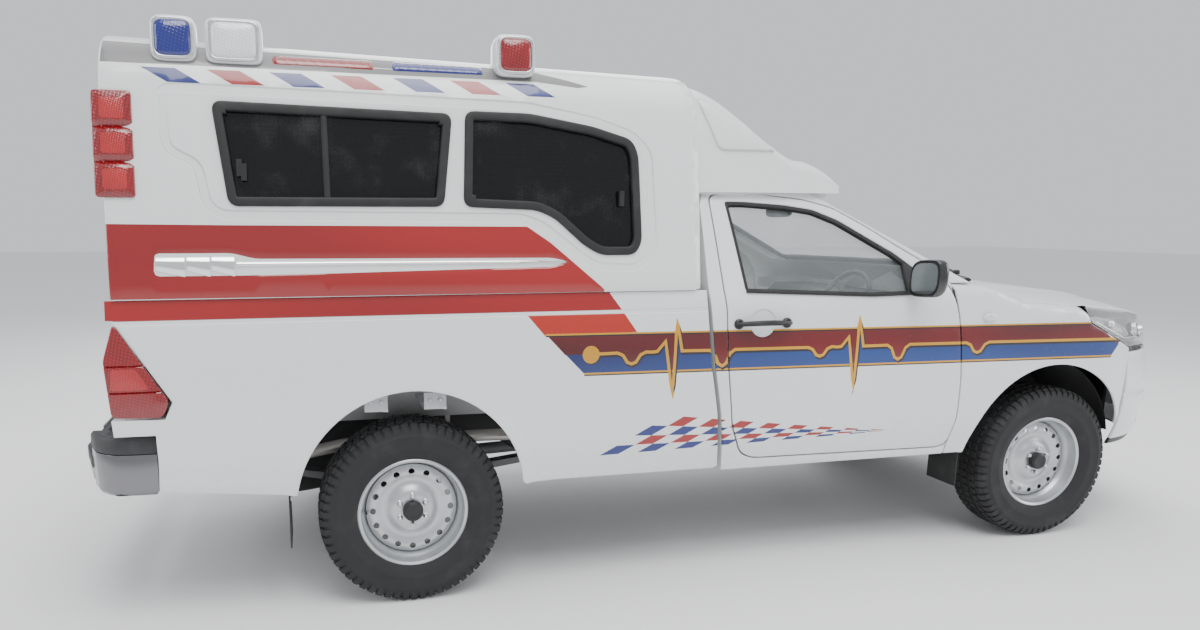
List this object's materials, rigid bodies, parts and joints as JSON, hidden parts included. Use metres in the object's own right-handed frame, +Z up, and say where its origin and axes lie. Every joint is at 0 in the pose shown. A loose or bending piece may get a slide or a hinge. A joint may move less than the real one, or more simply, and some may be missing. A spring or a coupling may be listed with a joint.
{
  "type": "pickup ambulance",
  "caption": "Right-hand-drive pickup ambulance with a moulded rear canopy, warning lamps, hinged doors, bonnet, tailgate and hatch, and wheels that steer and roll.",
  "frame": {"origin": "on the ground under the middle of the overall length, on the middle plane", "axes": "+X forwards, +Y to the vehicle's left, +Z up"},
  "size_m": [5.335, 2.1726, 2.2394],
  "materials": {
    "body_white": "gloss",
    "canopy_white": "gloss",
    "frame_black": "satin",
    "clear_glass": "gloss",
    "dark_glass": "gloss",
    "grille_chrome": "polished",
    "lamp_clear": "gloss",
    "lamp_red": "gloss",
    "lamp_blue": "gloss",
    "dark_plastic": "matt",
    "seat_fabric": "woven",
    "cast_grey": "rough",
    "exhaust_steel": "dull",
    "flap_rubber": "matt",
    "tyre_rubber": "matt",
    "wheel_silver": "satin",
    "bench_vinyl": "satin"
  },
  "bodies": {
    "body": {"chassis_frame": "frame_black", "cab_shell": "body_white", "cab_glass": "clear_glass", "front_fenders": "body_white", "front_structure": "frame_black", "front_bumper": "body_white", "grille": "grille_chrome", "headlamps": "lamp_clear", "dashboard": "dark_plastic", "seats": "seat_fabric", "engine_block": "cast_grey", "bed": "body_white", "canopy_shell": "canopy_white", "canopy_windows": "dark_glass", "tail_lamps": "lamp_red", "canopy_lamps": "lamp_red", "lamp_housings": "canopy_white", "red_beacons": "lamp_red", "blue_beacons": "lamp_blue", "clear_beacons": "lamp_clear", "rear_bumper": "dark_plastic", "rear_axle": "frame_black", "leaf_springs": "frame_black", "front_suspension": "frame_black", "exhaust": "exhaust_steel", "fuel_tank": "dark_plastic", "prop_shafts": "frame_black", "mud_flaps": "flap_rubber", "spare_wheel": "tyre_rubber", "attendant_bench": "bench_vinyl"},
    "door_left": {"door_left": "body_white", "door_glass_left": "clear_glass", "mirror_left": "dark_plastic"},
    "door_right": {"door_right": "body_white", "door_glass_right": "clear_glass", "mirror_right": "dark_plastic"},
    "bonnet": {"bonnet": "body_white"},
    "tailgate": {"tailgate": "body_white"},
    "rear_hatch": {"rear_hatch": "canopy_white", "hatch_glass": "dark_glass"},
    "steering_wheel": {"steering_wheel": "dark_plastic"},
    "knuckle_left": {"knuckle_left": "cast_grey"},
    "knuckle_right": {"knuckle_right": "cast_grey"},
    "wheel_front_left": {"tyre_front_left": "tyre_rubber", "rim_front_left": "wheel_silver"},
    "wheel_front_right": {"tyre_front_right": "tyre_rubber", "rim_front_right": "wheel_silver"},
    "wheel_rear_left": {"tyre_rear_left": "tyre_rubber", "rim_rear_left": "wheel_silver"},
    "wheel_rear_right": {"tyre_rear_right": "tyre_rubber", "rim_rear_right": "wheel_silver"}
  },
  "joints": [
    {"name": "door_left_hinge", "type": "hinge", "parent": "body", "child": "door_left", "pos_m": [1.0875, 0.895, 0.9], "axis": [0, 0, -1], "range_deg": [0, 65]},
    {"name": "door_right_hinge", "type": "hinge", "parent": "body", "child": "door_right", "pos_m": [1.0875, -0.895, 0.9], "axis": [0, 0, 1], "range_deg": [0, 65]},
    {"name": "bonnet_hinge", "type": "hinge", "parent": "body", "child": "bonnet", "pos_m": [1.2695, 0, 1.228], "axis": [0, -1, 0], "range_deg": [0, 50]},
    {"name": "tailgate_hinge", "type": "hinge", "parent": "body", "child": "tailgate", "pos_m": [-2.4865, 0, 0.708], "axis": [0, -1, 0], "range_deg": [0, 90]},
    {"name": "rear_hatch_hinge", "type": "hinge", "parent": "body", "child": "rear_hatch", "pos_m": [-2.4765, 0, 2.05], "axis": [0, 1, 0], "range_deg": [0, 80]},
    {"name": "steer_left", "type": "hinge", "parent": "body", "child": "knuckle_left", "pos_m": [1.6725, 0.667, 0.3735], "axis": [0, 0, 1], "range_deg": [-33, 33]},
    {"name": "steer_right", "type": "hinge", "parent": "body", "child": "knuckle_right", "pos_m": [1.6725, -0.667, 0.3735], "axis": [0, 0, 1], "range_deg": [-33, 33]},
    {"name": "steering_wheel_turn", "type": "hinge", "parent": "body", "child": "steering_wheel", "pos_m": [1.1125, -0.37, 0.985], "axis": [-0.9063, 0, 0.4226], "range_deg": [-500, 500]},
    {"name": "wheel_front_left_spin", "type": "hinge", "parent": "knuckle_left", "child": "wheel_front_left", "pos_m": [1.6725, 0.747, 0.3735], "axis": [0, 1, 0], "continuous": true},
    {"name": "wheel_front_right_spin", "type": "hinge", "parent": "knuckle_right", "child": "wheel_front_right", "pos_m": [1.6725, -0.747, 0.3735], "axis": [0, 1, 0], "continuous": true},
    {"name": "wheel_rear_left_spin", "type": "hinge", "parent": "body", "child": "wheel_rear_left", "pos_m": [-1.4125, 0.755, 0.3735], "axis": [0, 1, 0], "continuous": true},
    {"name": "wheel_rear_right_spin", "type": "hinge", "parent": "body", "child": "wheel_rear_right", "pos_m": [-1.4125, -0.755, 0.3735], "axis": [0, 1, 0], "continuous": true}
  ],
  "couplings": [
    {"joint": "steer_right", "follows": "steer_left", "ratio": 1},
    {"joint": "steering_wheel_turn", "follows": "steer_left", "ratio": 15}
  ]
}
